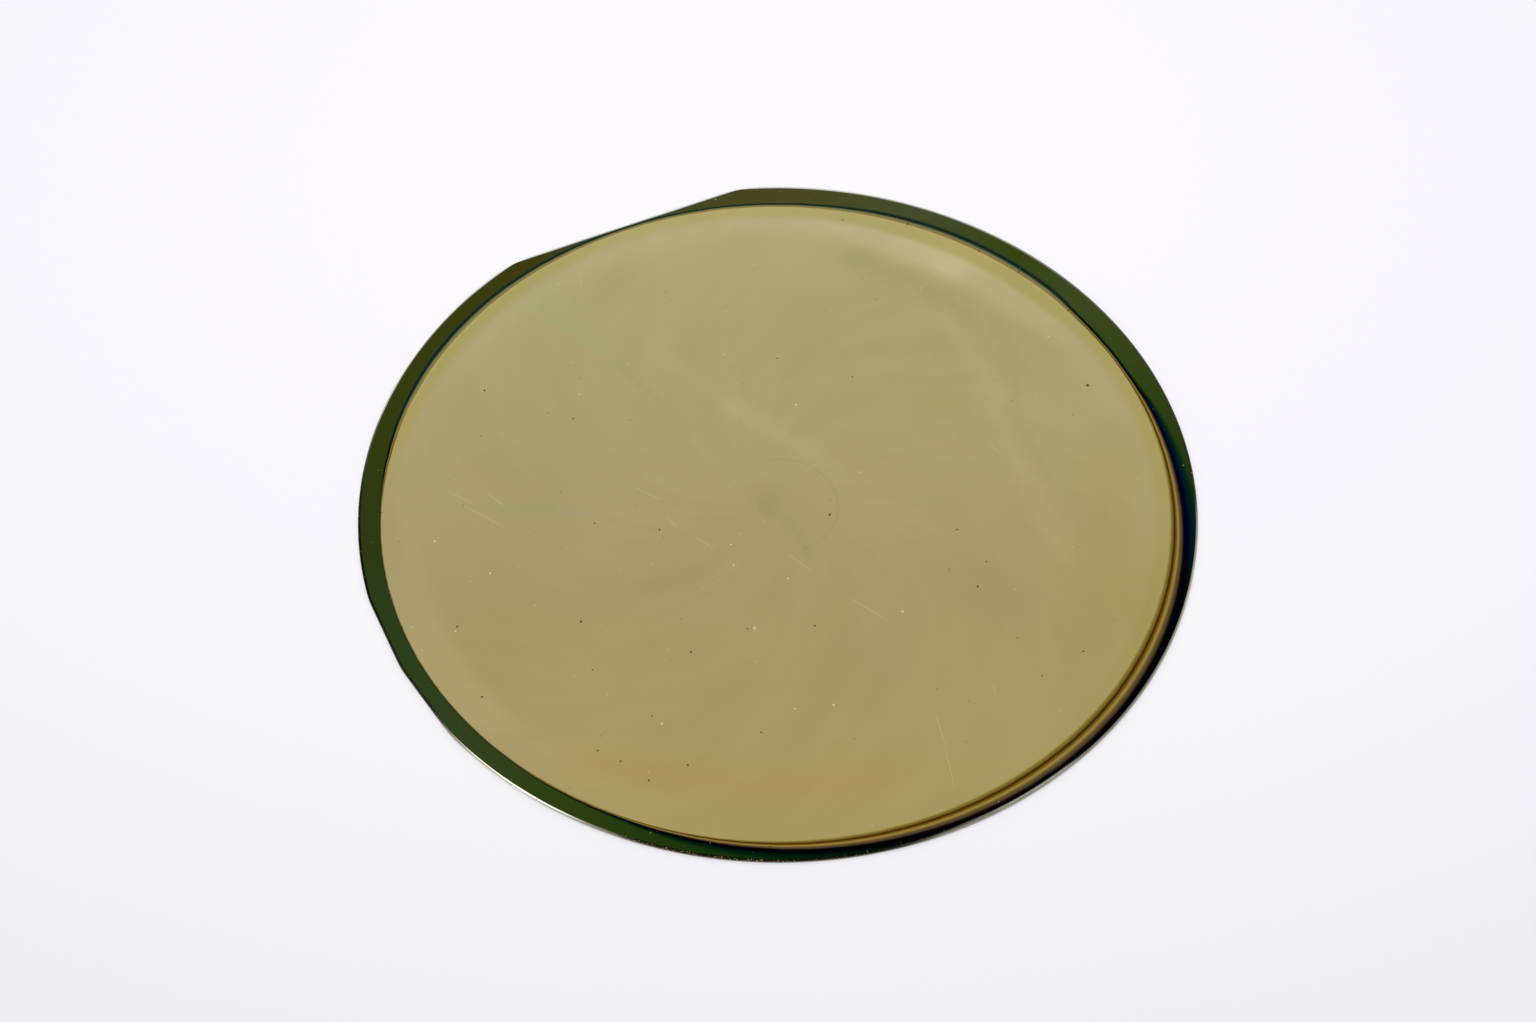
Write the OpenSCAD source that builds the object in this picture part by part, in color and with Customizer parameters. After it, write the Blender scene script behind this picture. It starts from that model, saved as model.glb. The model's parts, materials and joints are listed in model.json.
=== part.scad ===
// Silicon wafer of the 3-inch size: one slice of single crystal, lapped flat, with a
// primary and a secondary flat ground into its edge and the edge bevelled and rounded.
// A short third flat takes off the far end of the secondary one.
// Millimetres. The back face lies at z = 0 and the coated face points to +Z.
// The primary flat faces -Y, and the secondary flat faces +X.

/* [Slice] */
// Diameter across the round part of the edge
wafer_d = 76.2; // [50.8:0.1:100]
// Thickness between the two faces
wafer_t = 0.381; // [0.279:0.001:0.525]

/* [Flats] */
// Length of the primary flat, from corner to corner of the outline before they are eased
primary_flat_l = 23.1; // [19:0.1:32.5]
// Length of the secondary flat, taken the same way
secondary_flat_l = 9.7; // [8:0.1:18]
// Turn from the primary flat to the secondary, counter-clockwise over the coated face
flats_turn = 90; // [45:45:180]
// Length of the end flat as if it stood alone. It starts where it meets the secondary flat
end_flat_l = 10; // [9:0.1:12]
// Turn from the secondary flat on to the end flat
end_flat_turn = 10; // [8:0.5:11]
// Radius that eases the corners where the primary and secondary flats meet the round edge
corner_r = 11; // [4:0.1:16]

/* [Edge] */
// Width of the ground bevel, square on to the face
bevel_w = 0.22; // [0.2:0.01:0.4]
// Angle between the bevel and the face
bevel_a = 22; // [18:1:28]
// Radius of the nose between the bevels, as a multiple of the arc tangent to both
nose_ratio = 1.02; // [1.01:0.01:1.08]

/* [Hidden] */
$fn = 180;
wafer_r = wafer_d / 2;
mid_z = wafer_t / 2;
// The two bevels would meet this far outside the nose
tip_out = mid_z / tan(bevel_a) - bevel_w;
nose_r = nose_ratio * tip_out * sin(bevel_a) / (1 - sin(bevel_a));
// The bevel passes closest to the nose's centre this far outward of it
nose_foot = (tip_out + nose_r) * pow(sin(bevel_a), 2);
// Long enough to pass right through the slice from any side
reach = 2 * wafer_d;
wedge_l = 2 * corner_r;
primary_turn = -90;
secondary_turn = primary_turn + flats_turn;
end_turn = secondary_turn + end_flat_turn;
micron = 0.001;
film_olive = [0.66, 0.60, 0.42];

// Distance from the wafer's axis to a flat of length l
function flat_out(l) = sqrt(pow(wafer_r, 2) - pow(l / 2, 2));
// A corner arc is tangent to its flat and to the round edge. Its centre lies this far
// along the flat's normal, and this far to one side of it
function corner_along(l) = flat_out(l) - corner_r;
function corner_aside(l) = sqrt(pow(wafer_r - corner_r, 2) - pow(corner_along(l), 2));
// The eased corners: turn and length of the flat, and the side of it. The end flat turns
// off the secondary one and runs out into the round edge too gently to need easing.
corners = [
  [primary_turn, primary_flat_l, -1],
  [primary_turn, primary_flat_l, 1],
  [secondary_turn, secondary_flat_l, -1]
];

// Moves to the nearest micron and then by the rest, so that edges that meet do so exactly
module place(at) {
  coarse = [for (value = at) round(value / micron) * micron];
  translate(coarse)
    translate(at - coarse)
      children();
}

// The edge's section: two bevels running in from the tip, capped by the nose.
// The outermost point is at x = 0, and the section reaches far in from there.
module edge_section() {
  slope = (reach + tip_out) * tan(bevel_a);
  intersection() {
    polygon([[-reach, mid_z - slope], [tip_out, mid_z], [-reach, mid_z + slope]]);
    union() {
      translate([-reach, mid_z - reach])
        square([reach - nose_r + nose_foot, 2 * reach]);
      translate([-nose_r, mid_z])
        circle(nose_r);
    }
  }
}

// Everything inside a round edge of radius r
module inside_round(r) {
  rotate_extrude()
    intersection() {
      translate([r, 0])
        edge_section();
      translate([0, -reach])
        square([reach, 2 * reach]);
    }
}

// Everything behind a flat of length l that faces +X, with its corners still sharp
module behind_flat(l) {
  place([flat_out(l), 0, 0])
    translate([0, reach, 0])
      rotate([90, 0, 0])
        linear_extrude(2 * reach)
          edge_section();
}

// The slice before its edges are ground
module blank() {
  translate([-reach / 2, -reach / 2, 0])
    cube([reach, reach, wafer_t]);
}

// The wedge that holds one corner's arc, from the arc's centre outward
module corner_wedge(l, side) {
  along = corner_along(l);
  aside = side * corner_aside(l);
  place([along, aside, 0])
    translate([0, 0, -wafer_t])
      linear_extrude(3 * wafer_t)
        polygon([[0, 0], [wedge_l, 0], [wedge_l, wedge_l * aside / along]]);
}

// One corner as it is eased, filling its wedge
module eased_corner(l, side) {
  intersection() {
    blank();
    place([corner_along(l), side * corner_aside(l), 0])
      inside_round(corner_r);
    corner_wedge(l, side);
  }
}

// The slice: one crystal, ground to a round edge and its flats
module wafer() {
  color(film_olive) {
    difference() {
      intersection() {
        blank();
        inside_round(wafer_r);
        rotate([0, 0, primary_turn])
          behind_flat(primary_flat_l);
        rotate([0, 0, secondary_turn])
          behind_flat(secondary_flat_l);
        rotate([0, 0, end_turn])
          behind_flat(end_flat_l);
      }
      for (corner = corners)
        rotate([0, 0, corner[0]])
          corner_wedge(corner[1], corner[2]);
    }
    for (corner = corners)
      rotate([0, 0, corner[0]])
        eased_corner(corner[1], corner[2]);
  }
}

wafer();
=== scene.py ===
import json
from math import atan2, cos, pi, radians, sin, sqrt, tan

import bpy
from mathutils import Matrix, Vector

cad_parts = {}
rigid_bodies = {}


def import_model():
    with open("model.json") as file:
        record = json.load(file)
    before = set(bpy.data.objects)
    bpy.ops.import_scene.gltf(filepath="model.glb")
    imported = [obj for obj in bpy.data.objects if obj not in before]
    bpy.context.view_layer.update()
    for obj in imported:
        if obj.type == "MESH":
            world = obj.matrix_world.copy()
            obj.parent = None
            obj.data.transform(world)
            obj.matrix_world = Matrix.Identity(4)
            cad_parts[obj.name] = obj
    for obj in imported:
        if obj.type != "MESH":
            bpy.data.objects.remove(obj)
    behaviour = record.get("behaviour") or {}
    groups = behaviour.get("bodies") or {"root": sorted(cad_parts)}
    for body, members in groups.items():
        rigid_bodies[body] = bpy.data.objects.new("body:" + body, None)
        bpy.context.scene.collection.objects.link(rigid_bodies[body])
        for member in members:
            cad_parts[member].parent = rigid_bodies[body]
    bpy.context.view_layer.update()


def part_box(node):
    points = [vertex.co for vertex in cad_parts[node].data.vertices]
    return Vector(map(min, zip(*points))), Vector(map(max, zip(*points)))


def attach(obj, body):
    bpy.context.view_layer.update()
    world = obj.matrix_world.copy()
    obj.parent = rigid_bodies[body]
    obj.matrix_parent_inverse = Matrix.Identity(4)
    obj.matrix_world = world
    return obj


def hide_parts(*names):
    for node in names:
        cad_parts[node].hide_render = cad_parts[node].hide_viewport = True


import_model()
waferLow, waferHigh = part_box("wafer")
mm = 0.001
print("frame loaded, wafer", round(waferHigh.y * 2 / mm, 2), "mm across")


# small helpers for looking around and for node trees

def direction(turn, height):
    # turn goes anticlockwise from the small flat, height is above the table, both in degrees
    flat = cos(radians(height))
    return Vector((flat * cos(radians(turn)), flat * sin(radians(turn)), sin(radians(height))))


def colour(red, green, blue):
    # 0 to 255 as a colour picker shows it, to the linear numbers that sockets take
    linear = []
    for part in (red, green, blue):
        part = part / 255
        linear.append(part / 12.92 if part < 0.04045 else ((part + 0.055) / 1.055) ** 2.4)
    return (*linear, 1.0)


def tint(red, green, blue):
    # small change of shade in picker steps, as what the coat's colour is multiplied by
    return (1 + red * 0.013, 1 + green * 0.014, 1 + blue * 0.020, 1.0)


def addNode(tree, kind, feeds=None, **settings):
    made = tree.nodes.new(kind)
    for name, value in settings.items():
        setattr(made, name, value)
    for socket, value in (feeds or {}).items():
        if isinstance(value, bpy.types.NodeSocket):
            tree.links.new(value, made.inputs[socket])
        else:
            made.inputs[socket].default_value = value
    return made


def addMath(tree, operation, *values, clamp=False):
    feeds = dict(enumerate(values))
    return addNode(tree, "ShaderNodeMath", feeds, operation=operation, use_clamp=clamp).outputs[0]


def addVector(tree, operation, *values, out=0):
    made = addNode(tree, "ShaderNodeVectorMath", dict(enumerate(values)), operation=operation)
    return made.outputs[out]


def addFade(tree, value, start, end):
    # 0 at start, 1 at end, eased at both
    feeds = {"Value": value, "From Min": start, "From Max": end}
    return addNode(tree, "ShaderNodeMapRange", feeds, interpolation_type="SMOOTHSTEP").outputs[0]


def addSpan(tree, turn, start, full, leave, gone):
    # 1 between full and leave, eased to 0 at start and at gone
    return addMath(tree, "MULTIPLY", addFade(tree, turn, start, full), addFade(tree, turn, gone, leave))


def addMix(tree, amount, first, second, how="MIX"):
    feeds = {0: amount, 6: first, 7: second}
    return addNode(tree, "ShaderNodeMix", feeds, data_type="RGBA", blend_type=how).outputs[2]


def addRamp(tree, value, low, high, stops, ease="LINEAR"):
    # stops are (place, red, green, blue), places between low and high
    place = addNode(tree, "ShaderNodeMapRange", {"Value": value, "From Min": low, "From Max": high})
    made = addNode(tree, "ShaderNodeValToRGB", {0: place.outputs[0]})
    band = made.color_ramp
    band.interpolation = ease
    while len(band.elements) < len(stops):
        band.elements.new(0.5)
    for element in band.elements:
        element.position = 0.0
    for element, (where, *shade) in zip(band.elements, stops):
        element.position = (where - low) / (high - low)
        element.color = colour(*shade)
    return made.outputs[0]


def addFringe(tree, order, stops):
    # colours through the coat's falling edge, eased from each to the next
    return addRamp(tree, order, stops[0][0], stops[-1][0], stops, "EASE")


def addCurve(tree, value, low, high, points):
    # points are (place, height), heights between 0 and 1
    place = addNode(tree, "ShaderNodeMapRange", {"Value": value, "From Min": low, "From Max": high})
    made = addNode(tree, "ShaderNodeFloatCurve", {"Value": place.outputs[0]})
    line = made.mapping.curves[0]
    for where, height in points[1:-1]:
        line.points.new((where - low) / (high - low), height)
    line.points[0].location = (0.0, points[0][1])
    line.points[len(line.points) - 1].location = (1.0, points[-1][1])
    made.mapping.update()
    return made.outputs[0]


# camera

cameraSetup = {
    "lens": 100.0,            # mm, on a 36 mm sensor
    "turn": 156.5,            # degrees round the wafer, 0 looks at the main flat
    "height": 53.48,          # degrees above the table
    "distance": 387.19,       # mm
    "aim": (1.1, 0.26, 0.19)  # mm
}


def makeCamera(setup):
    bpy.ops.object.select_all(action="DESELECT")
    towards = direction(setup["turn"] - 90, setup["height"])
    aim = Vector(setup["aim"]) * mm
    bpy.ops.object.camera_add(location=aim + towards * setup["distance"] * mm)
    camera = bpy.context.object
    camera.name = "studioCamera"
    camera.rotation_euler = towards.to_track_quat("Z", "Y").to_euler()
    camera.data.lens = setup["lens"]
    camera.data.sensor_width = 36.0
    camera.data.clip_start = 0.01
    camera.data.clip_end = 20.0
    bpy.context.scene.camera = camera


makeCamera(cameraSetup)
print("camera placed")


# the wafer's body: the half section of its edge is drawn first, then swept round the outline

waferShape = {
    "radius": waferHigh.y,
    "thickness": waferHigh.z,
    "mainFlat": -waferLow.y,        # from the centre to the main flat
    "smallFlat": waferHigh.x,       # and to the small one
    "endFlat": 37.77 * mm,          # and to the short one that takes off the small one's far end
    "endTurn": radians(10),         # from the small flat on to the short one
    "cornerRadius": 11.0 * mm,      # where a flat runs into the round
    "bevelWidth": 0.22 * mm,
    "bevelAngle": radians(22.0),
    "noseRadius": 0.1537 * mm,
    "softCorner": 0.05 * mm,        # how far the polish rounds the corner of face and bevel
    "stepAngle": radians(0.5),
    "faceRings": (0.02, 1.5, 5.0),  # mm, insets of the flat faces
    "innerRings": (0.75, 0.66, 0.5)
}


def flatCorner(shape, flat):
    # centre of a corner arc along and beside the flat's own direction, and the angle it turns through
    radius = shape["radius"]
    corner = shape["cornerRadius"]
    along = flat - corner
    beside = sqrt((radius - corner) ** 2 - along ** 2)
    return along, beside, atan2(beside, along)


def selectWhere(test):
    # picks vertices of the mesh in edit mode by their place
    bpy.ops.mesh.select_mode(type="VERT")
    bpy.ops.mesh.select_all(action="DESELECT")
    bpy.ops.object.mode_set(mode="OBJECT")
    mesh = bpy.context.object.data
    for vertex in mesh.vertices:
        vertex.select = test(vertex.co)
    bpy.ops.object.mode_set(mode="EDIT")


def turnSection(steps, angle, centre, axis):
    # the operator turns clockwise, seen along the axis
    bpy.ops.mesh.spin(steps=steps, angle=-angle, center=centre, axis=axis)


def pullSection(steps, move):
    # straight run of the section in a few equal steps
    for step in range(steps):
        bpy.ops.mesh.extrude_region_move(TRANSFORM_OT_translate={"value": Vector(move) / steps})


def makeWaferBody(shape):
    radius = shape["radius"]
    thick = shape["thickness"]
    tip = shape["smallFlat"]        # the section starts in the middle of the small flat
    slope = shape["bevelAngle"]
    nose = shape["noseRadius"]
    soft = shape["softCorner"]
    softRadius = soft / tan(slope / 2)

    # where the bevel line runs into the round nose
    dx = nose - shape["bevelWidth"]
    dz = thick / 2
    half = dx * cos(slope) - dz * sin(slope)
    bevelLength = -half + sqrt(half ** 2 - (dx ** 2 + dz ** 2 - nose ** 2))
    noseX = tip - shape["bevelWidth"] + bevelLength * cos(slope)
    noseZ = thick - bevelLength * sin(slope)
    noseTurn = 2 * atan2(noseZ - thick / 2, noseX - (tip - nose))

    startX = tip - shape["bevelWidth"] - soft
    bpy.ops.object.select_all(action="DESELECT")
    bpy.ops.mesh.primitive_plane_add(size=mm, location=(startX, 0, thick))
    body = bpy.context.object
    body.name = "waferBody"
    body.data.name = "waferBody"
    bpy.ops.object.transform_apply(location=True, rotation=False, scale=False)
    bpy.ops.object.mode_set(mode="EDIT")
    bpy.ops.mesh.select_all(action="SELECT")
    bpy.ops.mesh.merge(type="CENTER")
    side = (0, 1, 0)
    turnSection(3, slope, (startX, 0, thick - softRadius), side)
    short = 0.01 * mm               # keeps the bevel's shading flat right up to its rounded corner
    long = bevelLength - soft - short
    pullSection(1, (short * cos(slope), 0, -short * sin(slope)))
    pullSection(1, (long * cos(slope), 0, -long * sin(slope)))
    turnSection(20, noseTurn, (tip - nose, 0, thick / 2), side)
    pullSection(1, (-long * cos(slope), 0, -long * sin(slope)))
    pullSection(1, (-short * cos(slope), 0, -short * sin(slope)))
    turnSection(3, slope, (startX, 0, softRadius), side)

    bpy.ops.mesh.select_all(action="SELECT")
    up = (0, 0, 1)
    along, beside, cornerTurn = flatCorner(shape, shape["smallFlat"])
    mainAlong, mainBeside, mainTurn = flatCorner(shape, shape["mainFlat"])
    endTurn = shape["endTurn"]
    endAlong, endBeside, endCornerTurn = flatCorner(shape, shape["endFlat"])
    longRound = radians(270) - mainTurn - endTurn - endCornerTurn
    shortRound = radians(90) - mainTurn - cornerTurn

    # half of the small flat, the turn on to the short flat, that flat, and its own corner
    shared = (endAlong - along * cos(endTurn)) / sin(endTurn)
    run = endBeside + along * sin(endTurn) - shared * cos(endTurn)
    endNormal = Vector((cos(endTurn), sin(endTurn), 0))
    endAway = Vector((-sin(endTurn), cos(endTurn), 0))
    pullSection(3, (0, shared, 0))
    turnSection(4, endTurn, (along, shared, 0), up)
    pullSection(5, endAway * run)
    turnSection(6, endCornerTurn, endNormal * endAlong + endAway * endBeside, up)
    turnSection(round(longRound / shape["stepAngle"]), longRound, (0, 0, 0), up)
    turnSection(14, mainTurn, (-mainBeside, -mainAlong, 0), up)
    pullSection(16, (2 * mainBeside, 0, 0))
    turnSection(14, mainTurn, (mainBeside, -mainAlong, 0), up)
    turnSection(round(shortRound / shape["stepAngle"]), shortRound, (0, 0, 0), up)
    turnSection(6, cornerTurn, (along, -beside, 0), up)
    pullSection(4, (0, beside, 0))

    bpy.ops.mesh.select_all(action="SELECT")
    bpy.ops.mesh.remove_doubles(threshold=0.004 * mm)

    # the two faces: a rim ring close to the edge, wider rings inwards, and a closed centre
    for height in (thick, 0.0):
        selectWhere(lambda place: abs(place.z - height) < 0.0002 * mm)
        bpy.ops.mesh.edge_face_add()
        for ring in shape["faceRings"]:
            bpy.ops.mesh.inset(thickness=ring * mm, depth=0)
        for scale in shape["innerRings"]:
            bpy.ops.mesh.extrude_region_move()
            bpy.ops.transform.resize(value=(scale, scale, 1), center_override=(0, 0, height))
        bpy.ops.mesh.merge(type="CENTER")

    bpy.ops.mesh.select_all(action="SELECT")
    bpy.ops.mesh.normals_make_consistent(inside=False)
    bpy.ops.object.mode_set(mode="OBJECT")
    bpy.ops.object.shade_smooth_by_angle(angle=radians(20))
    return body


waferBody = makeWaferBody(waferShape)
print("wafer body:", len(waferBody.data.polygons), "faces")


# node groups that put single marks on the coat, one use of a group for each mark

def startGroup(name, numbers):
    group = bpy.data.node_groups.new(name, "ShaderNodeTree")
    group.interface.new_socket("Place", in_out="INPUT", socket_type="NodeSocketVector")
    for title in numbers:
        kind = "NodeSocketVector" if title in ("Start", "End") else "NodeSocketFloat"
        group.interface.new_socket(title, in_out="INPUT", socket_type=kind)
    group.interface.new_socket("Mask", in_out="OUTPUT", socket_type="NodeSocketFloat")
    return group, addNode(group, "NodeGroupInput").outputs


def makeSpotGroup():
    # round spot of a radius, added to the spots before it
    group, given = startGroup("coatSpot", ("Start", "Radius", "Before"))
    far = addVector(group, "DISTANCE", given["Place"], given["Start"], out="Value")
    inner = addMath(group, "MULTIPLY", given["Radius"], 0.45)
    mask = addFade(group, far, given["Radius"], inner)
    addNode(group, "NodeGroupOutput", {0: addMath(group, "MAXIMUM", mask, given["Before"])})
    return group


def addLineDistance(group, given):
    # distance to the straight run from start to end, and the share of it that lies before the nearest point
    run = addVector(group, "SUBTRACT", given["End"], given["Start"])
    reach = addVector(group, "SUBTRACT", given["Place"], given["Start"])
    onLine = addVector(group, "DOT_PRODUCT", reach, run, out="Value")
    square = addVector(group, "DOT_PRODUCT", run, run, out="Value")
    share = addMath(group, "DIVIDE", onLine, square, clamp=True)
    foot = addNode(group, "ShaderNodeVectorMath", {0: run, "Scale": share}, operation="SCALE").outputs[0]
    far = addVector(group, "DISTANCE", reach, foot, out="Value")
    return far, share


def makeScratchGroup():
    # straight line between two points, thinning out at its ends
    group, given = startGroup("coatScratch", ("Start", "End", "Radius", "Before"))
    far, share = addLineDistance(group, given)
    body = addFade(group, far, given["Radius"], 0.0)
    tail = addMath(group, "PINGPONG", share, 0.5)
    ends = addFade(group, tail, -0.15, 0.3)
    mask = addMath(group, "MULTIPLY", body, ends)
    addNode(group, "NodeGroupOutput", {0: addMath(group, "MAXIMUM", mask, given["Before"])})
    return group


def makeTrailGroup():
    # distance to a straight run between two points, or to the runs before it if they are nearer
    group, given = startGroup("coatTrail", ("Start", "End", "Before"))
    far = addLineDistance(group, given)[0]
    addNode(group, "NodeGroupOutput", {0: addMath(group, "MINIMUM", far, given["Before"])})
    return group


def useGroup(tree, group, feeds):
    return addNode(tree, "ShaderNodeGroup", feeds, node_tree=group).outputs[0]


def addSpots(tree, place, spots):
    mask = 0.0
    for x, y, radius in spots:
        feeds = {"Place": place, "Start": (x, y, 0), "Radius": radius, "Before": mask}
        mask = useGroup(tree, spotGroup, feeds)
    return mask


def addScratches(tree, place, scratches):
    mask = 0.0
    for startX, startY, endX, endY, radius in scratches:
        feeds = {"Place": place, "Start": (startX, startY, 0), "End": (endX, endY, 0)}
        mask = useGroup(tree, scratchGroup, {**feeds, "Radius": radius, "Before": mask})
    return mask


def addTrail(tree, place, halfWidth, points):
    # soft streak along a run of points
    far = 1000.0
    for start, end in zip(points, points[1:]):
        feeds = {"Place": place, "Start": (*start, 0), "End": (*end, 0), "Before": far}
        far = useGroup(tree, trailGroup, feeds)
    return addFade(tree, far, halfWidth, 0.0)


def addSpecks(tree, place, perMm, share, radius):
    # scattered particles, in some of the cells of a random pattern; the second result tells dark from light
    cells = addNode(tree, "ShaderNodeTexVoronoi", {"Vector": place, "Scale": perMm}, voronoi_dimensions="2D")
    dice = addNode(tree, "ShaderNodeSeparateColor", {0: cells.outputs["Color"]})
    chosen = addMath(tree, "GREATER_THAN", dice.outputs[0], 1 - share)
    reach = addMath(tree, "MULTIPLY_ADD", dice.outputs[1], radius * perMm, radius * perMm * 0.5)
    speck = addFade(tree, cells.outputs["Distance"], reach, 0.0)
    return addMath(tree, "MULTIPLY", speck, chosen), dice.outputs[2]


def addArcBand(tree, place, centre, radius, halfWidth, middleTurn, halfSpan):
    # soft band along part of a circle
    away = addVector(tree, "SUBTRACT", place, (*centre, 0))
    far = addVector(tree, "LENGTH", away, out="Value")
    off = addMath(tree, "ABSOLUTE", addMath(tree, "SUBTRACT", far, radius))
    band = addFade(tree, off, halfWidth, 0.0)
    unit = addVector(tree, "NORMALIZE", away)
    side = addVector(tree, "DOT_PRODUCT", unit, direction(middleTurn, 0), out="Value")
    span = addFade(tree, side, cos(radians(halfSpan)), cos(radians(halfSpan * 0.5)))
    return addMath(tree, "MULTIPLY", band, span)


def addComet(tree, place, start, end, startWidth, endWidth, soft):
    # streak that widens from its start to its end
    run = Vector((*end, 0)) - Vector((*start, 0))
    unit = run.normalized()
    away = addVector(tree, "SUBTRACT", place, (*start, 0))
    along = addVector(tree, "DOT_PRODUCT", away, (unit.x, unit.y, 0), out="Value")
    beside = addVector(tree, "DOT_PRODUCT", away, (-unit.y, unit.x, 0), out="Value")
    beside = addMath(tree, "ABSOLUTE", beside)
    share = addMath(tree, "DIVIDE", along, run.length)
    wide = addMath(tree, "MULTIPLY_ADD", share, endWidth - startWidth, startWidth)
    inside = addMath(tree, "SUBTRACT", beside, wide)
    body = addFade(tree, inside, soft, -soft)
    begin = addFade(tree, share, -0.03, 0.03)
    finish = addFade(tree, share, 1.05, 0.9)
    return addMath(tree, "MULTIPLY", addMath(tree, "MULTIPLY", body, begin), finish)


spotGroup = makeSpotGroup()
scratchGroup = makeScratchGroup()
trailGroup = makeTrailGroup()


# front face: a thin coat spun over grown oxide, its edge bead washed off, both coloured by their thickness

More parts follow.
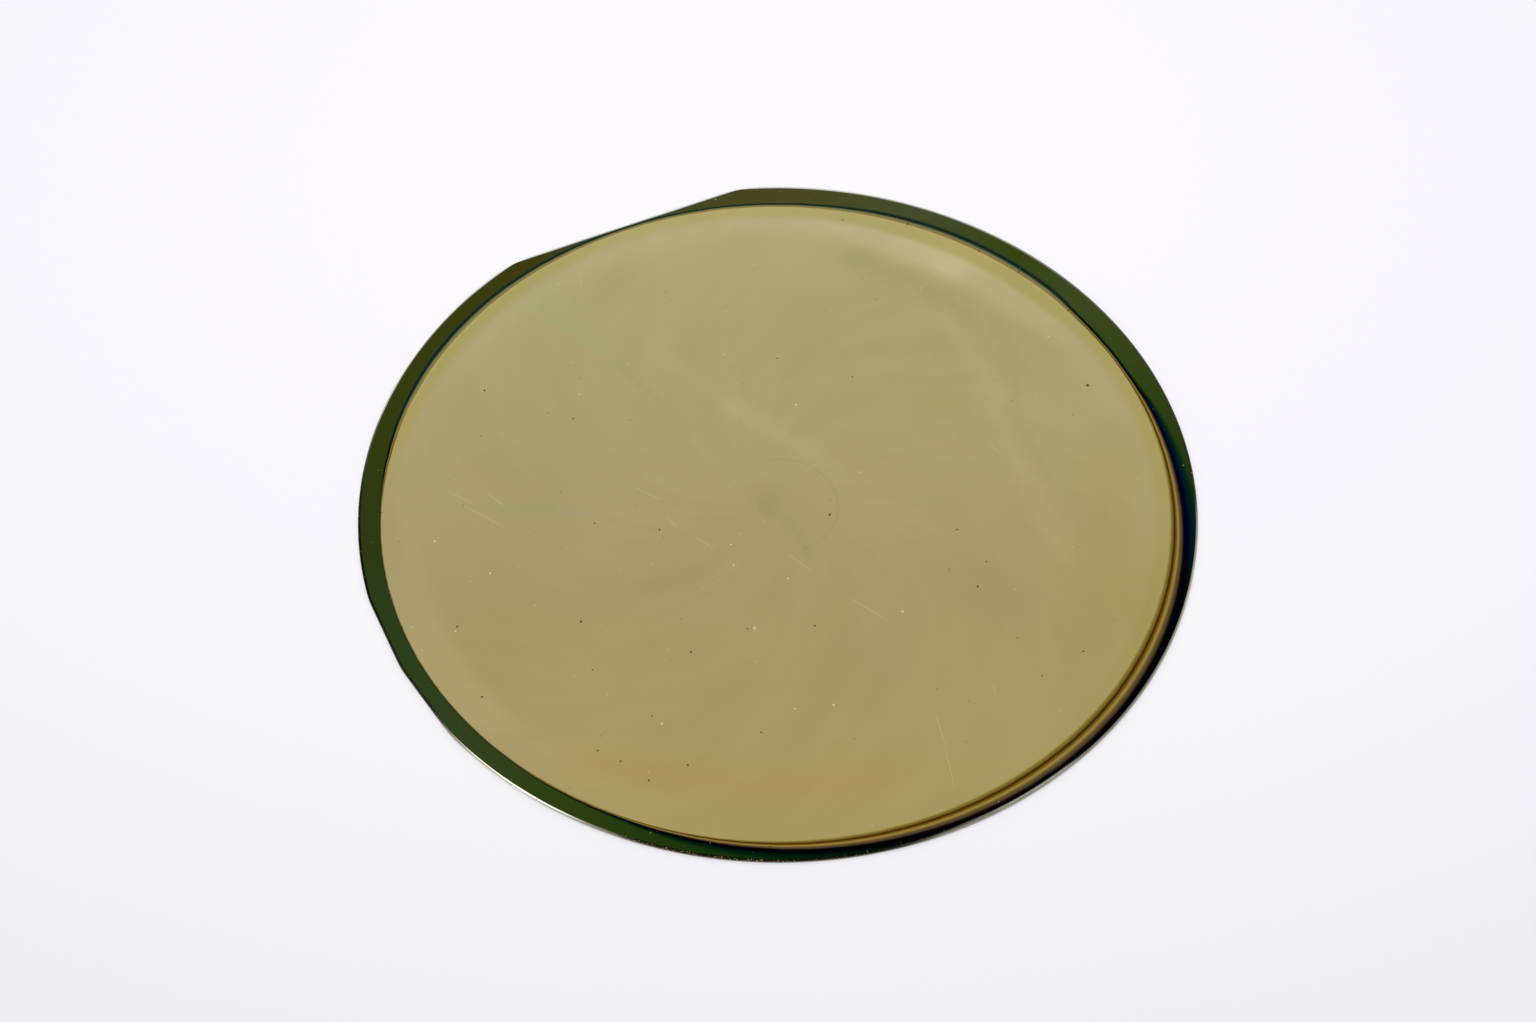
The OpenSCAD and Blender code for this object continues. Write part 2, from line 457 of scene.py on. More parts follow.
frontLook = {
    "coatCentre": (0.285, 0.184),      # mm, the coat sits a little off the wafer's centre
    "farSide": (-0.399, -0.917, 0),    # the coat's colour drifts along this direction
    "coat": (                          # mm along the drift, from the near side to the far one
        (-36, 168, 150, 97), (-10, 165, 151, 103), (12, 171, 158, 112), (24, 171, 160, 112),
        (36, 178, 167, 121)),
    "coatEdge": {
        "radius": 35.8,                # mm from the coat's centre to where its edge begins to fall
        "washedIn": 0.14,              # mm less where the edge was washed twice, between these degrees
        "washedFrom": (170, 205, 312, 350),
        "width": 0.15,                 # mm to one colour order, where the edge is steepest
        "washedWidth": 0.18,           # mm more where it was washed twice
        "wideFrom": (188, 200, 318, 336),
        "humps": (                     # middle and half span in degrees, mm wider, power of its curve
            (116, 74, 1.43, 1.2), (215, 28, 0.30, 1.0), (300, 26, 0.17, 1.0)),
        "thinning": 1.0,               # how fast the orders follow each other past the black one
        "slower": 0.6,                 # and how much less between these degrees
        "slowFrom": (28, 44, 145, 235),
        "thinHumps": ((258, 30, 0.2), (308, 22, -0.2))
    },
    "orders": (                        # olive, brown line, tan line, its dark side, black line, deep green
        (-0.10, 166, 152, 92), (0.12, 122, 103, 38), (0.31, 62, 34, 0), (0.45, 112, 84, 22),
        (0.57, 152, 128, 60), (0.80, 90, 72, 45), (1.05, 8, 4, 4), (1.20, 1, 1, 8), (1.48, 1, 30, 14),
        (1.80, 18, 47, 13)),
    "farOrders": (                     # where it was washed twice: pale olive, brown, khaki, dark green, moss
        (-0.05, 184, 164, 110), (0.38, 126, 111, 52), (0.60, 130, 126, 80), (0.88, 66, 76, 55),
        (1.18, 7, 29, 24), (1.80, 50, 67, 42)),
    "sharpOrders": (                   # where the edge is steep its lines run together: coat, dark, oxide
        (-0.55, 162, 158, 113), (0.85, 42, 46, 12), (1.50, 50, 58, 22)),
    "sharpFrom": (330, 338, 27, 34),   # degrees between which that edge fades in and out
    "farFrom": (192, 200, 318, 327),   # degrees between which that side fades in and out
    "rim": (                           # bare oxide outside the coat, by degrees round
        (0, 42, 62, 28), (20, 50, 66, 32), (38, 45, 63, 18), (60, 20, 50, 10), (150, 19, 46, 14),
        (180, 50, 66, 20), (198, 60, 72, 32), (210, 54, 68, 18), (225, 68, 76, 42), (250, 73, 70, 30),
        (270, 60, 71, 46), (286, 62, 58, 14), (320, 50, 60, 15), (345, 44, 58, 20), (360, 42, 62, 28)),
    "rimBand": (                       # degrees round, strength of the pale band just inside the coat's edge
        (0, 0.56), (12, 0.55), (24, 0.32), (36, 0.25), (48, 0.2), (60, 0.0), (75, 0.05), (108, 0.05),
        (130, 0.0), (150, 0.1), (158, 0.22), (168, 0.06), (180, 0.12), (192, 0.55), (204, 0.72), (216, 1.0),
        (228, 1.0), (240, 0.6), (252, 0.42), (266, 0.3), (288, 0.3), (306, 0.2), (324, 0.0),
        (338, 0.2), (350, 0.32), (360, 0.56)),
    "bandFar": (190, 202, 225, 240),   # where that band and line begin further in
    "rimYellow": (                     # and of the yellow line between that and the edge
        (0, 0.0), (30, 0.0), (48, 0.2), (60, 0.1), (72, 0.0), (105, 0.1), (120, 0.33), (132, 0.67),
        (156, 0.75), (168, 1.0), (180, 1.0), (192, 0.9), (204, 1.0), (216, 1.0), (228, 0.8), (276, 0.75),
        (300, 0.95), (322, 0.9), (337, 0.0), (360, 0.0)),
    "yellowFrom": (34.2, 33.6),        # mm from the centre where it begins, on the near and the far side
    "paintedHighlight": (                      # degrees round, strength of the painted highlight, a pale line where the bevel starts
        (0, 0.0), (86, 0.0), (92, 0.2), (98, 0.35), (104, 0.35), (109, 0.1), (114, 0.0), (188, 0.0),
        (204, 0.15), (216, 0.4), (234, 0.7), (242, 1.0), (260, 1.0), (270, 0.6), (278, 0.65), (284, 1.0),
        (290, 1.0), (295, 0.6), (302, 0.3), (314, 0.1), (324, 0.0), (360, 0.0)),
    "highlightAt": (0.27, 0.075, 0.03),     # mm inside the edge, and half widths where it ends and is full
    # colours of that painted highlight on the near and the far side
    "highlightNear": (178, 182, 158),
    "highlightFar": (206, 206, 204),
    "navy": (0, 0, 26),                # blue added to the black line between these degrees
    "navyFrom": (143, 152, 172, 179),
    "navyOrders": (0.95, 1.15, 1.45, 1.65),
    "patches": (                       # x, y, radius, change of shade
        (20.0, -14.0, 13.0, -2, -2, -3), (0.7, -1.0, 3.0, -4, -4, -4), (-18.8, -4.4, 5.0, -2, -2, -5),
        (-26.0, 14.8, 6.0, -1, -1, -2), (-15.0, 16.9, 5.5, -2, -2, 0), (2.2, 10.7, 5.5, 2, -1, 0),
        (-25.8, -19.3, 3.4, 5, 4, 6), (-24.0, 20.5, 10.0, -1, 0, -5), (-29.4, 9.0, 8.0, -1, 0, -4),
        (-2.0, 21.0, 9.0, 0, 0, 2), (12.0, 3.0, 5.0, -2, -2, 0)),
    "trails": (                        # half width, change of shade, points it runs through
        (2.0, (4, 4, 4), ((-0.7, -11.7), (-4.3, -6.0), (-6.6, -1.5))),
        (1.7, (2, 2, 2), ((3.6, -21.0), (2.1, -18.9), (-0.7, -11.7))),
        (2.2, (-6, -5, -5), ((-18.0, -23.8), (-22.0, -19.3), (-25.0, -13.7))),
        (1.5, (-3, -3, -3), ((-27.2, -11.1), (-26.4, -5.4), (-23.9, -1.1), (-23.4, 6.4))),
        (1.8, (3, 3, 3), ((-23.2, -13.3), (-23.6, -2.8), (-22.0, 4.6), (-21.6, 15.4))),
        (1.2, (-3, -2, -2), ((1.4, -0.6), (-0.1, 2.2), (-0.6, 6.2))),
        (3.0, (2, -2, -3), ((26.5, 18.9), (19.6, 23.7), (10.8, 28.6), (3.1, 30.8))),
        (0.9, (-3, -3, -5), ((7.1, -20.3), (5.6, -15.5))),
        (0.6, (-2, -1, -1), ((31.3, -13.3), (24.0, -9.9)))),
    "comets": (                        # from, to, half widths at both, softness, change of shade
        ((7.1, -20.3), (10.8, -31.8), 0.3, 2.0, 0.35, (-5, 3, 1)),
        ((24.6, -10.2), (18.4, -7.3), 0.4, 0.6, 0.4, (-4, 0, -1)),
        ((18.6, -7.4), (15.7, -6.2), 0.6, 0.6, 0.3, (-1, 0, 4))),
    "specks": (                        # cells in a mm, share of them with a particle, its radius, how strong
        (0.45, 0.16, 0.10, 0.5), (1.0, 0.20, 0.06, 0.35)),
    "ticks": (196.3, 206.7, 213.9, 225.9, 337.6),  # degrees round, small cracks in the coat's edge
    "chuckRing": ((0.0, 0.3), 5.35, 0.16),  # centre, radius and half width in mm
    "brownSpot": (11.7, -34.9, 0.3),
    "markShades": {                    # how strong, and the colour
        "crack": (0.6, 44, 36, 20), "brown": (0.8, 96, 52, 28), "dark": (0.85, 40, 36, 26),
        "scratch": (0.35, 196, 186, 150), "light": (0.7, 222, 216, 190)},
    "roughness": 0.035,
    "darkSpots": (
        (-31.8, -1.1, 0.20), (13.4, -16.5, 0.12), (19.7, -22.8, 0.14), (21.9, -18.0, 0.10), (-3.8, 3.0, 0.16),
        (11.0, -1.6, 0.14), (16.1, -4.6, 0.12), (13.6, 11.9, 0.14), (8.0, 11.6, 0.10), (2.4, 13.7, 0.12),
        (21.3, 5.0, 0.14), (32.3, 9.0, 0.16), (22.3, 10.2, 0.10), (31.6, 1.1, 0.14), (19.4, 16.8, 0.10),
        (23.7, 20.1, 0.13), (18.5, 22.8, 0.14), (22.2, 22.9, 0.12), (25.1, 18.3, 0.12), (11.3, 22.2, 0.12),
        (-13.7, 9.1, 0.14), (-14.6, 13.4, 0.10), (-12.7, 15.6, 0.13), (-13.8, 26.6, 0.10),
        (-18.3, 25.7, 0.12), (-6.7, -15.5, 0.10), (-12.2, -10.7, 0.10), (-19.2, -28.5, 0.12)),
    "lightSpots": (
        (-6.1, -9.8, 0.12), (-8.3, -0.3, 0.08), (7.4, 11.8, 0.14), (-5.4, 15.4, 0.13), (18.9, 17.9, 0.14),
        (4.3, 22.1, 0.14), (7.6, 21.1, 0.10), (30.1, -8.5, 0.14), (26.8, -3.2, 0.12), (11.8, -18.9, 0.10),
        (5.7, 2.5, 0.10), (6.4, 4.7, 0.10), (2.5, 8.0, 0.10), (-31.0, -7.8, 0.10), (31.9, 1.5, 0.12)),
    "scratches": (
        (27.1, -13.5, 25.4, -11.1, 0.10), (26.4, -11.4, 23.9, -7.7, 0.10), (23.8, -11.7, 22.8, -9.6, 0.10),
        (6.1, -32.9, 7.0, -30.4, 0.12), (10.9, -6.4, 9.5, -4.6, 0.08), (9.8, -2.6, 9.4, -1.1, 0.10),
        (8.4, 0.4, 7.3, 2.3, 0.09), (1.5, 5.4, 0.2, 8.2, 0.10), (-1.6, 12.0, -3.8, 15.8, 0.10),
        (-3.6, 26.2, -2.8, 30.1, 0.09), (-2.8, 30.1, -1.7, 34.4, 0.09), (-20.4, 1.3, -21.1, 3.2, 0.09),
        (-9.5, 25.7, -9.1, 26.9, 0.09))
}


def fadeAt(place, start, end):
    # what addFade gives, as a number
    share = min(max((place - start) / (end - start), 0.0), 1.0)
    return share * share * (3 - 2 * share)


def spanAt(place, start, full, leave, gone):
    return fadeAt(place, start, full) * fadeAt(place, gone, leave)


def humpAt(place, middle, half):
    # 1 in the middle, falling to 0 half a span away
    return cos(min(abs(place - middle) / half, 1.0) * pi / 2)


def coatEdgeAt(turn, edge):
    # radius where the edge starts to fall, width of a colour order, and how fast it then thins
    radius = edge["radius"] - edge["washedIn"] * spanAt(turn, *edge["washedFrom"])
    width = edge["width"] + edge["washedWidth"] * spanAt(turn, *edge["wideFrom"])
    for middle, half, wider, power in edge["humps"]:
        width += wider * humpAt(turn, middle, half) ** power
    thinning = edge["thinning"] - edge["slower"] * spanAt(turn, *edge["slowFrom"])
    for middle, half, faster in edge["thinHumps"]:
        thinning += faster * humpAt(turn, middle, half)
    return radius, width, thinning


def startMaterial(name):
    material = bpy.data.materials.new(name)
    material.use_nodes = True
    material.node_tree.nodes.clear()
    return material, material.node_tree


def finishMaterial(tree, base, roughness, bump, **constants):
    feeds = {"Base Color": base, "Roughness": roughness, "Normal": bump}
    shader = addNode(tree, "ShaderNodeBsdfPrincipled", feeds)
    for name, value in constants.items():
        shader.inputs[name].default_value = value
    addNode(tree, "ShaderNodeOutputMaterial", {"Surface": shader.outputs[0]})
    return shader


def placeInMm(tree, flat=True):
    # object coordinates in millimetres, without height for what lies in the plane of the wafer
    raw = addNode(tree, "ShaderNodeTexCoord").outputs["Object"]
    return addVector(tree, "MULTIPLY", raw, (1000, 1000, 0 if flat else 1000))


def addNoise(tree, place, scale, detail=2.0, roughness=0.5):
    feeds = {"Vector": place, "Scale": scale, "Detail": detail, "Roughness": roughness}
    return addNode(tree, "ShaderNodeTexNoise", feeds).outputs[0]


def paintCoat(tree, look, base, place, far, turn):
    # soft differences of thickness: patches, streaks, comets, and bands along the edge
    sway = addNode(tree, "ShaderNodeTexNoise", {"Vector": place, "Scale": 0.35, "Detail": 3.0}).outputs[1]
    sway = addVector(tree, "MULTIPLY_ADD", sway, (2.4, 2.4, 0), (-1.2, -1.2, 0))
    soft = addVector(tree, "ADD", place, sway)
    swirl = addMath(tree, "MULTIPLY_ADD", far, 2.0, turn)
    swirl = addMath(tree, "MULTIPLY", swirl, pi / 180)
    rayX = addMath(tree, "MULTIPLY", addMath(tree, "COSINE", swirl), 4.0)
    rayY = addMath(tree, "MULTIPLY", addMath(tree, "SINE", swirl), 4.0)
    ray = addNode(tree, "ShaderNodeCombineXYZ", {0: rayX, 1: rayY, 2: addMath(tree, "MULTIPLY", far, 0.09)})
    streak = addNoise(tree, ray.outputs[0], 1.0, 3.0, 0.6)
    streak = addMath(tree, "MULTIPLY", addFade(tree, streak, 0.35, 0.65), addFade(tree, far, 1.0, 8.0))
    base = addMix(tree, streak, base, tint(2.5, 2.5, 2.5), "MULTIPLY")
    for x, y, radius, *change in look["patches"]:
        near = addVector(tree, "DISTANCE", soft, (x, y, 0), out="Value")
        base = addMix(tree, addFade(tree, near, radius, 0.0), base, tint(*change), "MULTIPLY")
    for halfWidth, change, points in look["trails"]:
        base = addMix(tree, addTrail(tree, soft, halfWidth, points), base, tint(*change), "MULTIPLY")
    for start, end, startWidth, endWidth, blur, change in look["comets"]:
        mask = addComet(tree, place, start, end, startWidth, endWidth, blur)
        base = addMix(tree, mask, base, tint(*change), "MULTIPLY")

    farSide = addSpan(tree, turn, *look["bandFar"])
    outer = addMath(tree, "ADD", farSide, far)
    bandStrength = addCurve(tree, turn, 0, 360, look["rimBand"])
    band = addMath(tree, "MULTIPLY", addFade(tree, outer, 31.3, 33.6), bandStrength)
    uneven = addMath(tree, "MULTIPLY_ADD", addNoise(tree, place, 0.22), 1.2, 0.4)
    band = addMath(tree, "MULTIPLY", band, uneven)
    toEdge = addMath(tree, "MAXIMUM", addFade(tree, turn, 340, 352), addFade(tree, turn, 55, 45))
    band = addMath(tree, "MULTIPLY", band, addMath(tree, "MAXIMUM", addFade(tree, far, 34.7, 33.7), toEdge))
    base = addMix(tree, band, base, tint(12, 12, 15), "MULTIPLY")
    yellow = addCurve(tree, turn, 0, 360, look["rimYellow"])
    nearFrom, farFrom = look["yellowFrom"]
    outer = addMath(tree, "MULTIPLY_ADD", farSide, nearFrom - farFrom, far)
    yellow = addMath(tree, "MULTIPLY", yellow, addFade(tree, outer, nearFrom, 35.0))
    return addMix(tree, yellow, base, tint(-4, -3, -15), "MULTIPLY")


def addTurn(tree, parts):
    # degrees round from the small flat, out of separated coordinates
    turn = addMath(tree, "ARCTAN2", parts.outputs[1], parts.outputs[0])
    return addMath(tree, "WRAP", addMath(tree, "MULTIPLY", turn, 180 / pi), 360.0, 0.0)


# painted shade on the upper bevel and on the coat's rounded corner, in place of the dark surroundings they
# reflect
paintedBevelShade = {
    "amount": (                        # degrees round, how dark the painted shade is where the bevel starts
        (0, 0.96), (13, 0.96), (16, 0.7), (19, 0.55), (26, 0.5), (34, 0.2), (40, 0.25), (45, 0.7),
        (50, 0.98), (76, 0.99), (83, 0.92), (89, 0.35), (100, 0.12), (112, 0.38), (128, 0.45), (150, 0.22),
        (157, 0.75), (162, 0.95), (170, 0.8), (184, 0.5), (200, 0.1), (210, 0.0), (304, 0.0), (312, 0.15),
        (320, 0.4), (328, 0.85), (344, 1.0), (360, 0.96)),
    "deeper": (                        # and how far down the bevel it runs there
        (0, 0.8), (13, 0.8), (18, 0.0), (46, 0.0), (53, 0.6), (82, 0.6), (90, 0.0), (322, 0.0), (334, 0.8),
        (360, 0.8)),
    "metal": (13, 12, 7),
    "coat": (8, 8, 4),
    "cornerFrom": (0.3806, 0.377),     # mm of height between which the corner darkens
    "bevelFrom": (0.22, 0.36),         # and the bevel
    "deeperBy": 0.05                   # mm
}


def makeFrontMaterial(look):
    material, tree = startMaterial("coatedSilicon")
    place = placeInMm(tree)

    # large drift of the coat's colour, and soft clouds in it
    drift = addVector(tree, "DOT_PRODUCT", place, look["farSide"], out="Value")
    cloud = addNoise(tree, place, 0.09, 3.0)
    drift = addMath(tree, "ADD", drift, addMath(tree, "MULTIPLY_ADD", cloud, 14, -7))
    base = addRamp(tree, drift, -36, 36, look["coat"])

    # distance past the coat's edge, counted in colour orders
    away = addVector(tree, "SUBTRACT", place, (*look["coatCentre"], 0))
    far = addVector(tree, "LENGTH", away, out="Value")
    parts = addNode(tree, "ShaderNodeSeparateXYZ", {0: away})
    turn = addTurn(tree, parts)
    base = paintCoat(tree, look, base, place, far, turn)
    edge = [(way, coatEdgeAt(way, look["coatEdge"])) for way in range(0, 361, 8)]
    radius = addCurve(tree, turn, 0, 360, [(way, at[0] - 35.5) for way, at in edge])
    width = addCurve(tree, turn, 0, 360, [(way, at[1] / 2) for way, at in edge])
    thinning = addCurve(tree, turn, 0, 360, [(way, at[2] / 2) for way, at in edge])
    wobble = addMath(tree, "MULTIPLY_ADD", addNoise(tree, place, 0.8, 2.0), 0.08, 35.46)
    past = addMath(tree, "SUBTRACT", far, addMath(tree, "ADD", radius, wobble))
    order = addMath(tree, "DIVIDE", past, addMath(tree, "MULTIPLY", width, 2.0))
    slow = addMath(tree, "MAXIMUM", addMath(tree, "SUBTRACT", order, 1.15), 0.0)
    slow = addMath(tree, "MULTIPLY", slow, addMath(tree, "MULTIPLY", thinning, 2.0))
    order = addMath(tree, "ADD", addMath(tree, "MINIMUM", order, 1.15), slow)
    nearFringe = addFringe(tree, order, look["orders"])
    farFringe = addFringe(tree, order, look["farOrders"])
    farMask = addSpan(tree, turn, *look["farFrom"])
    inLine = addSpan(tree, order, *look["navyOrders"])
    navy = addMath(tree, "MULTIPLY", addSpan(tree, turn, *look["navyFrom"]), inLine)
    nearFringe = addMix(tree, navy, nearFringe, colour(*look["navy"]), "ADD")
    fringe = addMix(tree, farMask, nearFringe, farFringe)
    sharpFringe = addFringe(tree, order, look["sharpOrders"])
    start, full, leave, gone = look["sharpFrom"]
    sharpMask = addMath(tree, "MAXIMUM", addFade(tree, turn, start, full), addFade(tree, turn, gone, leave))
    fringe = addMix(tree, sharpMask, fringe, sharpFringe)
    rim = addRamp(tree, turn, 0, 360, look["rim"])
    fringe = addMix(tree, addFade(tree, order, 1.45, 1.95), fringe, rim)
    base = addMix(tree, addFade(tree, order, -0.30, -0.02), base, fringe)
    raw = addNode(tree, "ShaderNodeSeparateXYZ", {0: placeInMm(tree, flat=False)})
    # painted shade on the coat where it rounds into the bevel, darker on some sides, as on the upper bevel
    corner = addMath(tree, "MULTIPLY", addFade(tree, raw.outputs[2], *paintedBevelShade["cornerFrom"]),
                     addCurve(tree, turn, 0, 360, paintedBevelShade["amount"]))
    base = addMix(tree, addMath(tree, "MULTIPLY", corner, 0.9), base, colour(*paintedBevelShade["coat"]))
    # painted highlight: a pale line where the face rounds into the bevel, for the lamps and surround it
    # reflects
    fromMiddle = addVector(tree, "LENGTH", place, out="Value")
    rimOff = addMath(tree, "SUBTRACT", fromMiddle, waferShape["radius"] / mm)
    flatOff = addMath(tree, "MULTIPLY_ADD", raw.outputs[1], -1.0, -waferShape["mainFlat"] / mm)
    inset, ends, full = look["highlightAt"]
    line = addMath(tree, "ADD", addMath(tree, "MAXIMUM", rimOff, flatOff), inset)
    line = addFade(tree, addMath(tree, "ABSOLUTE", line), ends, full)
    line = addMath(tree, "MULTIPLY", line, addCurve(tree, turn, 0, 360, look["paintedHighlight"]))
    pale = addMix(tree, addFade(tree, turn, 120, 190), colour(*look["highlightNear"]), colour(*look["highlightFar"]))
    base = addMix(tree, line, base, pale)

    # rings left by the spin chuck
    ring = addArcBand(tree, place, *look["chuckRing"], 0, 360)
    base = addMix(tree, addMath(tree, "MULTIPLY", ring, 0.2), base, colour(140, 128, 84))

    # particles and handling scratches
    jitter = addNode(tree, "ShaderNodeTexNoise", {"Vector": place, "Scale": 3.0, "Detail": 2.0}).outputs[1]
    jitter = addVector(tree, "MULTIPLY_ADD", jitter, (0.14, 0.14, 0), (-0.07, -0.07, 0))
    uneven = addVector(tree, "ADD", place, jitter)
    dark = addSpots(tree, uneven, look["darkSpots"])
    light = addSpots(tree, uneven, look["lightSpots"])
    for perMm, share, radius, strong in look["specks"]:
        speck, dice = addSpecks(tree, uneven, perMm, share, radius)
        speck = addMath(tree, "MULTIPLY", speck, strong)
        isLight = addMath(tree, "GREATER_THAN", dice, 0.6)
        light = addMath(tree, "MAXIMUM", light, addMath(tree, "MULTIPLY", speck, isLight))
        isDark = addMath(tree, "SUBTRACT", 1.0, isLight)
        dark = addMath(tree, "MAXIMUM", dark, addMath(tree, "MULTIPLY", speck, isDark))
    lines = addScratches(tree, place, look["scratches"])
    ticks = []
    for way in look["ticks"]:
        inner = Vector((*look["coatCentre"], 0)) + direction(way, 0) * 35.65
        outer = inner + direction(way, 0) * 0.45
        ticks.append((inner.x, inner.y, outer.x, outer.y, 0.13))
    cracks = addScratches(tree, place, ticks)
    brown = addSpots(tree, uneven, (look["brownSpot"],))
    masks = {"crack": cracks, "brown": brown, "dark": dark, "scratch": lines, "light": light}
    for kind, mask in masks.items():
        strong, *shade = look["markShades"][kind]
        base = addMix(tree, addMath(tree, "MULTIPLY", mask, strong), base, colour(*shade))

    marks = addMath(tree, "MAXIMUM", dark, light)
    roughness = addMath(tree, "MULTIPLY_ADD", marks, 0.35, look["roughness"])
    roughness = addMath(tree, "MULTIPLY_ADD", lines, 0.12, roughness)
    height = addMath(tree, "SUBTRACT", addMath(tree, "MULTIPLY", marks, 0.6), lines)
    bump = addNode(tree, "ShaderNodeBump", {"Strength": 0.15, "Distance": 0.00002, "Height": height})
    finishMaterial(tree, base, roughness, bump.outputs[0], Metallic=1.0)
    return material


# edge: ground bevels and round nose, with fine marks that run round the wafer, and painted reflections and
# painted shade by degrees round

edgeLook = {
    "paintedTone": (                         # degrees round, lightness of the ground metal with its reflections painted in: painted highlights where light, painted shade where dark
        (0, 194), (8, 186), (16, 202), (24, 240), (32, 214), (40, 184), (48, 139), (56, 139), (72, 159),
        (96, 157), (112, 178), (120, 180), (128, 194), (136, 213), (144, 216), (152, 192), (160, 160),
        (168, 145), (184, 128), (192, 148), (200, 177), (208, 208), (216, 221), (224, 240), (244, 242),
        (256, 255), (314, 255), (328, 250), (336, 180), (344, 80), (352, 160), (360, 194)),
    # painted shade: the metal darker up the bevel towards the face, by share of the thickness
    "inward": ((0.80, 255, 255, 255), (0.86, 234, 234, 233), (0.92, 212, 212, 210), (1.0, 186, 186, 184)),
    "stain": (240, 237, 230),         # darkens the metal in soft patches
    "farFrom": (200, 222, 312, 326),  # the side away from the lamps, with no painted inward shade or stain
    "chips": (196, 164, 98),          # tiny chips along the edge
    "chipsFrom": (38, 48, 62, 74),    # degrees between which there are more of them
    "chipsMore": 0.06,
    "roughness": (0.08, 0.13),
    "grindDepth": 0.0000004
}


def addPaintedBevelShade(tree, turn, height):
    # painted shade on the upper bevel, standing in for the dark surroundings it reflects, stronger on some
    # sides than on others
    amount = addCurve(tree, turn, 0, 360, paintedBevelShade["amount"])
    deeper = addCurve(tree, turn, 0, 360, paintedBevelShade["deeper"])
    height = addMath(tree, "MULTIPLY_ADD", deeper, paintedBevelShade["deeperBy"], height)
    return addMath(tree, "MULTIPLY", amount, addFade(tree, height, *paintedBevelShade["bevelFrom"]))


def makeEdgeMaterial(look):
    material, tree = startMaterial("groundSilicon")
    place = placeInMm(tree, flat=False)
    parts = addNode(tree, "ShaderNodeSeparateXYZ", {0: place})
    turn = addTurn(tree, parts)
    flatPlace = addVector(tree, "MULTIPLY", place, (1, 1, 0))
    far = addVector(tree, "LENGTH", flatPlace, out="Value")
    section = addNode(tree, "ShaderNodeCombineXYZ", {0: addMath(tree, "MULTIPLY", turn, 0.2),
                                                     1: addMath(tree, "MULTIPLY", far, 40),
                                                     2: addMath(tree, "MULTIPLY", parts.outputs[2], 40)})
    grind = addNoise(tree, section.outputs[0], 1.0, 4.0, 0.6)
    share = addMath(tree, "DIVIDE", parts.outputs[2], waferShape["thickness"] / mm)
    # the ground metal's colour by degrees round carries painted highlights and painted shade for what it
    # reflects
    paintedTones = [(where, paintedTone, paintedTone - 2, paintedTone - 13) for where, paintedTone in look["paintedTone"]]
    base = addRamp(tree, turn, 0, 360, paintedTones)
    # painted shade darkens the upper bevel, left off on the far side
    farSide = addSpan(tree, turn, *look["farFrom"])
    nearSide = addMath(tree, "SUBTRACT", 1.0, farSide)
    base = addMix(tree, nearSide, base, addRamp(tree, share, 0.8, 1, look["inward"]), "MULTIPLY")
    stain = addFade(tree, addNoise(tree, place, 0.5, 3.0), 0.35, 0.65)
    stain = addMath(tree, "MULTIPLY", stain, nearSide)
    base = addMix(tree, stain, base, colour(*look["stain"]), "MULTIPLY")
    # painted shade on the upper bevel
    dark = addPaintedBevelShade(tree, turn, parts.outputs[2])
    base = addMix(tree, dark, base, colour(*paintedBevelShade["metal"]))
    many = addSpan(tree, turn, *look["chipsFrom"])
    chip = addMath(tree, "MULTIPLY_ADD", many, look["chipsMore"], addNoise(tree, place, 8.0, 3.0, 0.6))
    chip = addFade(tree, chip, 0.64, 0.70)
    base = addMix(tree, addMath(tree, "MULTIPLY", chip, 0.8), base, colour(*look["chips"]))
    low, high = look["roughness"]
    roughness = addMath(tree, "MULTIPLY_ADD", grind, high - low, low)
    roughness = addMath(tree, "MULTIPLY_ADD", chip, 0.5, roughness)
    bump = addNode(tree, "ShaderNodeBump", {"Strength": 0.3, "Distance": look["grindDepth"], "Height": grind})
    finishMaterial(tree, base, roughness, bump.outputs[0], Metallic=1.0)
    return material


# back: lapped and etched, a dull even grey with shallow pits

backLook = {
    "metal": ((0.25, 132, 134, 132), (0.50, 143, 145, 142), (0.75, 152, 153, 149)),
    "roughness": (0.34, 0.46)
}


def makeBackMaterial(look):
    material, tree = startMaterial("etchedSilicon")
    place = placeInMm(tree)
    patch = addNoise(tree, place, 0.12, 4.0, 0.6)
    grain = addNoise(tree, place, 9.0, 3.0, 0.7)
    base = addRamp(tree, addMath(tree, "ADD", addMath(tree, "MULTIPLY", patch, 0.7),
                                 addMath(tree, "MULTIPLY", grain, 0.3)), 0.25, 0.75, look["metal"])
    low, high = look["roughness"]
    roughness = addMath(tree, "MULTIPLY_ADD", grain, high - low, low)
    pits = addNode(tree, "ShaderNodeTexVoronoi", {"Vector": place, "Scale": 6.0}, feature="SMOOTH_F1")
    height = addMath(tree, "ADD", pits.outputs[0], grain)
    bump = addNode(tree, "ShaderNodeBump", {"Strength": 0.35, "Distance": 0.00001, "Height": height})
    finishMaterial(tree, base, roughness, bump.outputs[0], Metallic=1.0)
    return material


def dressWafer(body):
    body.data.materials.append(makeFrontMaterial(frontLook))
    body.data.materials.append(makeEdgeMaterial(edgeLook))
    body.data.materials.append(makeBackMaterial(backLook))
    for face in body.data.polygons:
        if face.normal.z > cos(radians(15)):      # the coat and oxide run over the rounded corner
            face.material_index = 0
        elif face.normal.z < -0.9999:
            face.material_index = 2
        else:
            face.material_index = 1


dressWafer(waferBody)
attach(waferBody, "root")
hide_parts("wafer")
print("wafer dressed")


# studio: pale paper with painted light that fades from its palest place, an even surround and two soft lamps

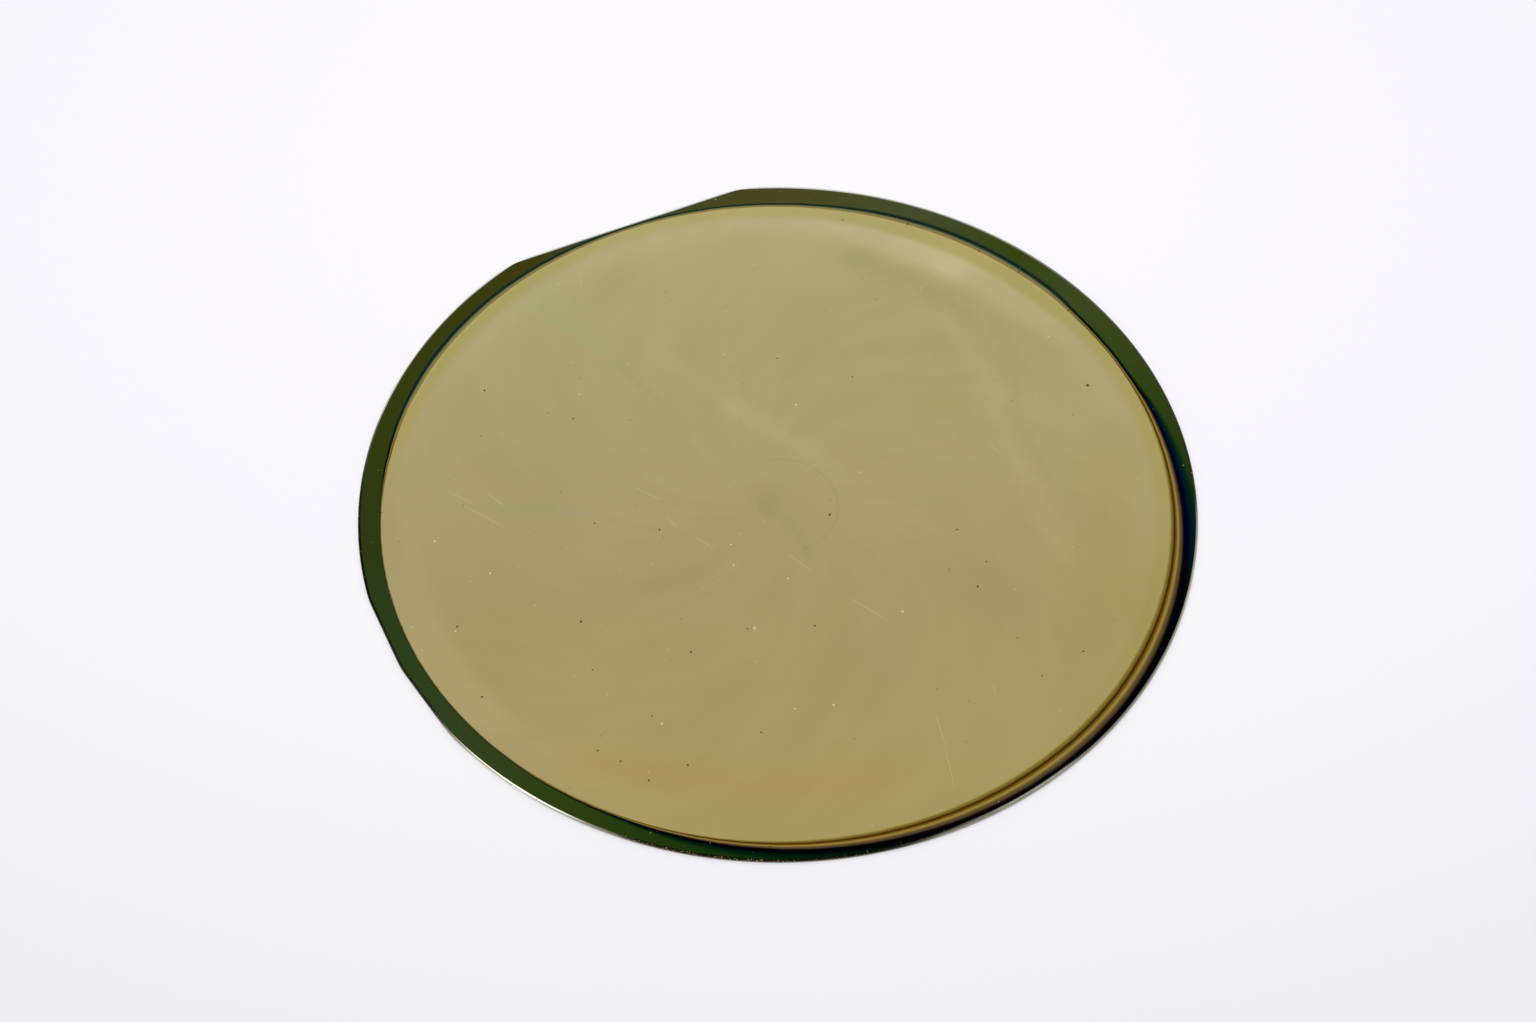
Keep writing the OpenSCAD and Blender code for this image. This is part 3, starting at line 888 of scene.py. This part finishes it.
studioSetup = {
    "paperSize": 3.0,
    "paper": (                        # painted light: the paper's colour by mm from its palest place, darker further off
        (0, 247.5, 244.5, 253), (60, 242, 240.5, 245.5), (120, 230, 229, 232.5)),
    "paperPalest": 45,                # mm from the wafer's centre towards the far side
    "paperMatt": 0.2,
    "paperShown": 0.6,                # share of the paper that is seen as its plain colour, the rest is lit
    "paperGlow": 1.02,
    "backdrop": (0.88, 0.88, 0.89, 1),
    "lamps": (                        # turn and height in degrees, width and depth in m, watts
        ((345.5, 57.5), 0.190, 0.100, 0.24), ((174.5, 67.0), 0.090, 0.090, 0.160)),
    "lampDistance": 0.5
}


def makeFloor(setup):
    bpy.ops.object.select_all(action="DESELECT")
    bpy.ops.mesh.primitive_plane_add(size=setup["paperSize"], location=(0, 0, -0.01 * mm))
    floor = bpy.context.object
    floor.name = "paperFloor"
    bpy.ops.object.transform_apply(location=True, rotation=False, scale=False)
    material, tree = startMaterial("palePaper")
    place = placeInMm(tree)
    across = addVector(tree, "DOT_PRODUCT", place, (-0.917, 0.399, 0), out="Value")
    away = addVector(tree, "DOT_PRODUCT", place, (-0.399, -0.917, 0), out="Value")
    away = addMath(tree, "SUBTRACT", away, setup["paperPalest"])
    far = addMath(tree, "MULTIPLY_ADD", away, away, 0.0)
    wide = addMath(tree, "MULTIPLY", addMath(tree, "MULTIPLY", across, across), 0.6)
    fall = addMath(tree, "POWER", addMath(tree, "ADD", far, wide), 0.5)
    # painted light and shade: the paper darkens with distance from its palest place
    base = addRamp(tree, fall, 0, 120, setup["paper"])
    fibre = addNoise(tree, place, 1.2, 4.0, 0.6)
    roughness = addMath(tree, "MULTIPLY_ADD", fibre, 0.1, 0.8)
    bump = addNode(tree, "ShaderNodeBump", {"Strength": 0.1, "Distance": 0.00002, "Height": fibre})
    lit = finishMaterial(tree, base, roughness, bump.outputs[0])
    lit.inputs["Specular IOR Level"].default_value = setup["paperMatt"]
    shown = addNode(tree, "ShaderNodeEmission", {0: base, 1: setup["paperGlow"]})
    path = addNode(tree, "ShaderNodeLightPath")
    seen = addMath(tree, "MAXIMUM", path.outputs["Is Camera Ray"], path.outputs["Is Glossy Ray"])
    share = addMath(tree, "MULTIPLY", seen, setup["paperShown"])
    both = addNode(tree, "ShaderNodeMixShader", {0: share, 1: lit.outputs[0], 2: shown.outputs[0]})
    tree.links.new(both.outputs[0], tree.nodes["Material Output"].inputs["Surface"])
    floor.data.materials.append(material)


def makeSurround(setup):
    world = bpy.data.worlds.new("studioSurround")
    bpy.context.scene.world = world
    world.use_nodes = True
    tree = world.node_tree
    tree.nodes.clear()
    view = addNode(tree, "ShaderNodeTexCoord").outputs["Generated"]
    height = addNode(tree, "ShaderNodeSeparateXYZ", {0: view}).outputs[2]
    level = addRamp(tree, height, 0, 0.6, ((0, 234, 234, 235), (0.2, 246, 246, 247), (0.6, 255, 255, 255)))
    light = addNode(tree, "ShaderNodeBackground", {0: level, 1: 1.0})
    seen = addNode(tree, "ShaderNodeBackground", {0: setup["backdrop"], 1: 1.0})
    path = addNode(tree, "ShaderNodeLightPath")
    both = addNode(tree, "ShaderNodeMixShader",
                   {0: path.outputs["Is Camera Ray"], 1: light.outputs[0], 2: seen.outputs[0]})
    addNode(tree, "ShaderNodeOutputWorld", {0: both.outputs[0]})


def makeLamps(setup):
    for (turn, height), wide, deep, watts in setup["lamps"]:
        towards = direction(turn, height)
        bpy.ops.object.light_add(type="AREA", location=towards * setup["lampDistance"])
        lamp = bpy.context.object
        lamp.rotation_euler = towards.to_track_quat("Z", "Y").to_euler()
        lamp.data.shape = "RECTANGLE"
        lamp.data.size = wide
        lamp.data.size_y = deep
        lamp.data.energy = watts
        lamp.visible_camera = False


makeFloor(studioSetup)
makeSurround(studioSetup)
makeLamps(studioSetup)
bpy.context.scene.view_settings.view_transform = "Standard"
print("studio ready")
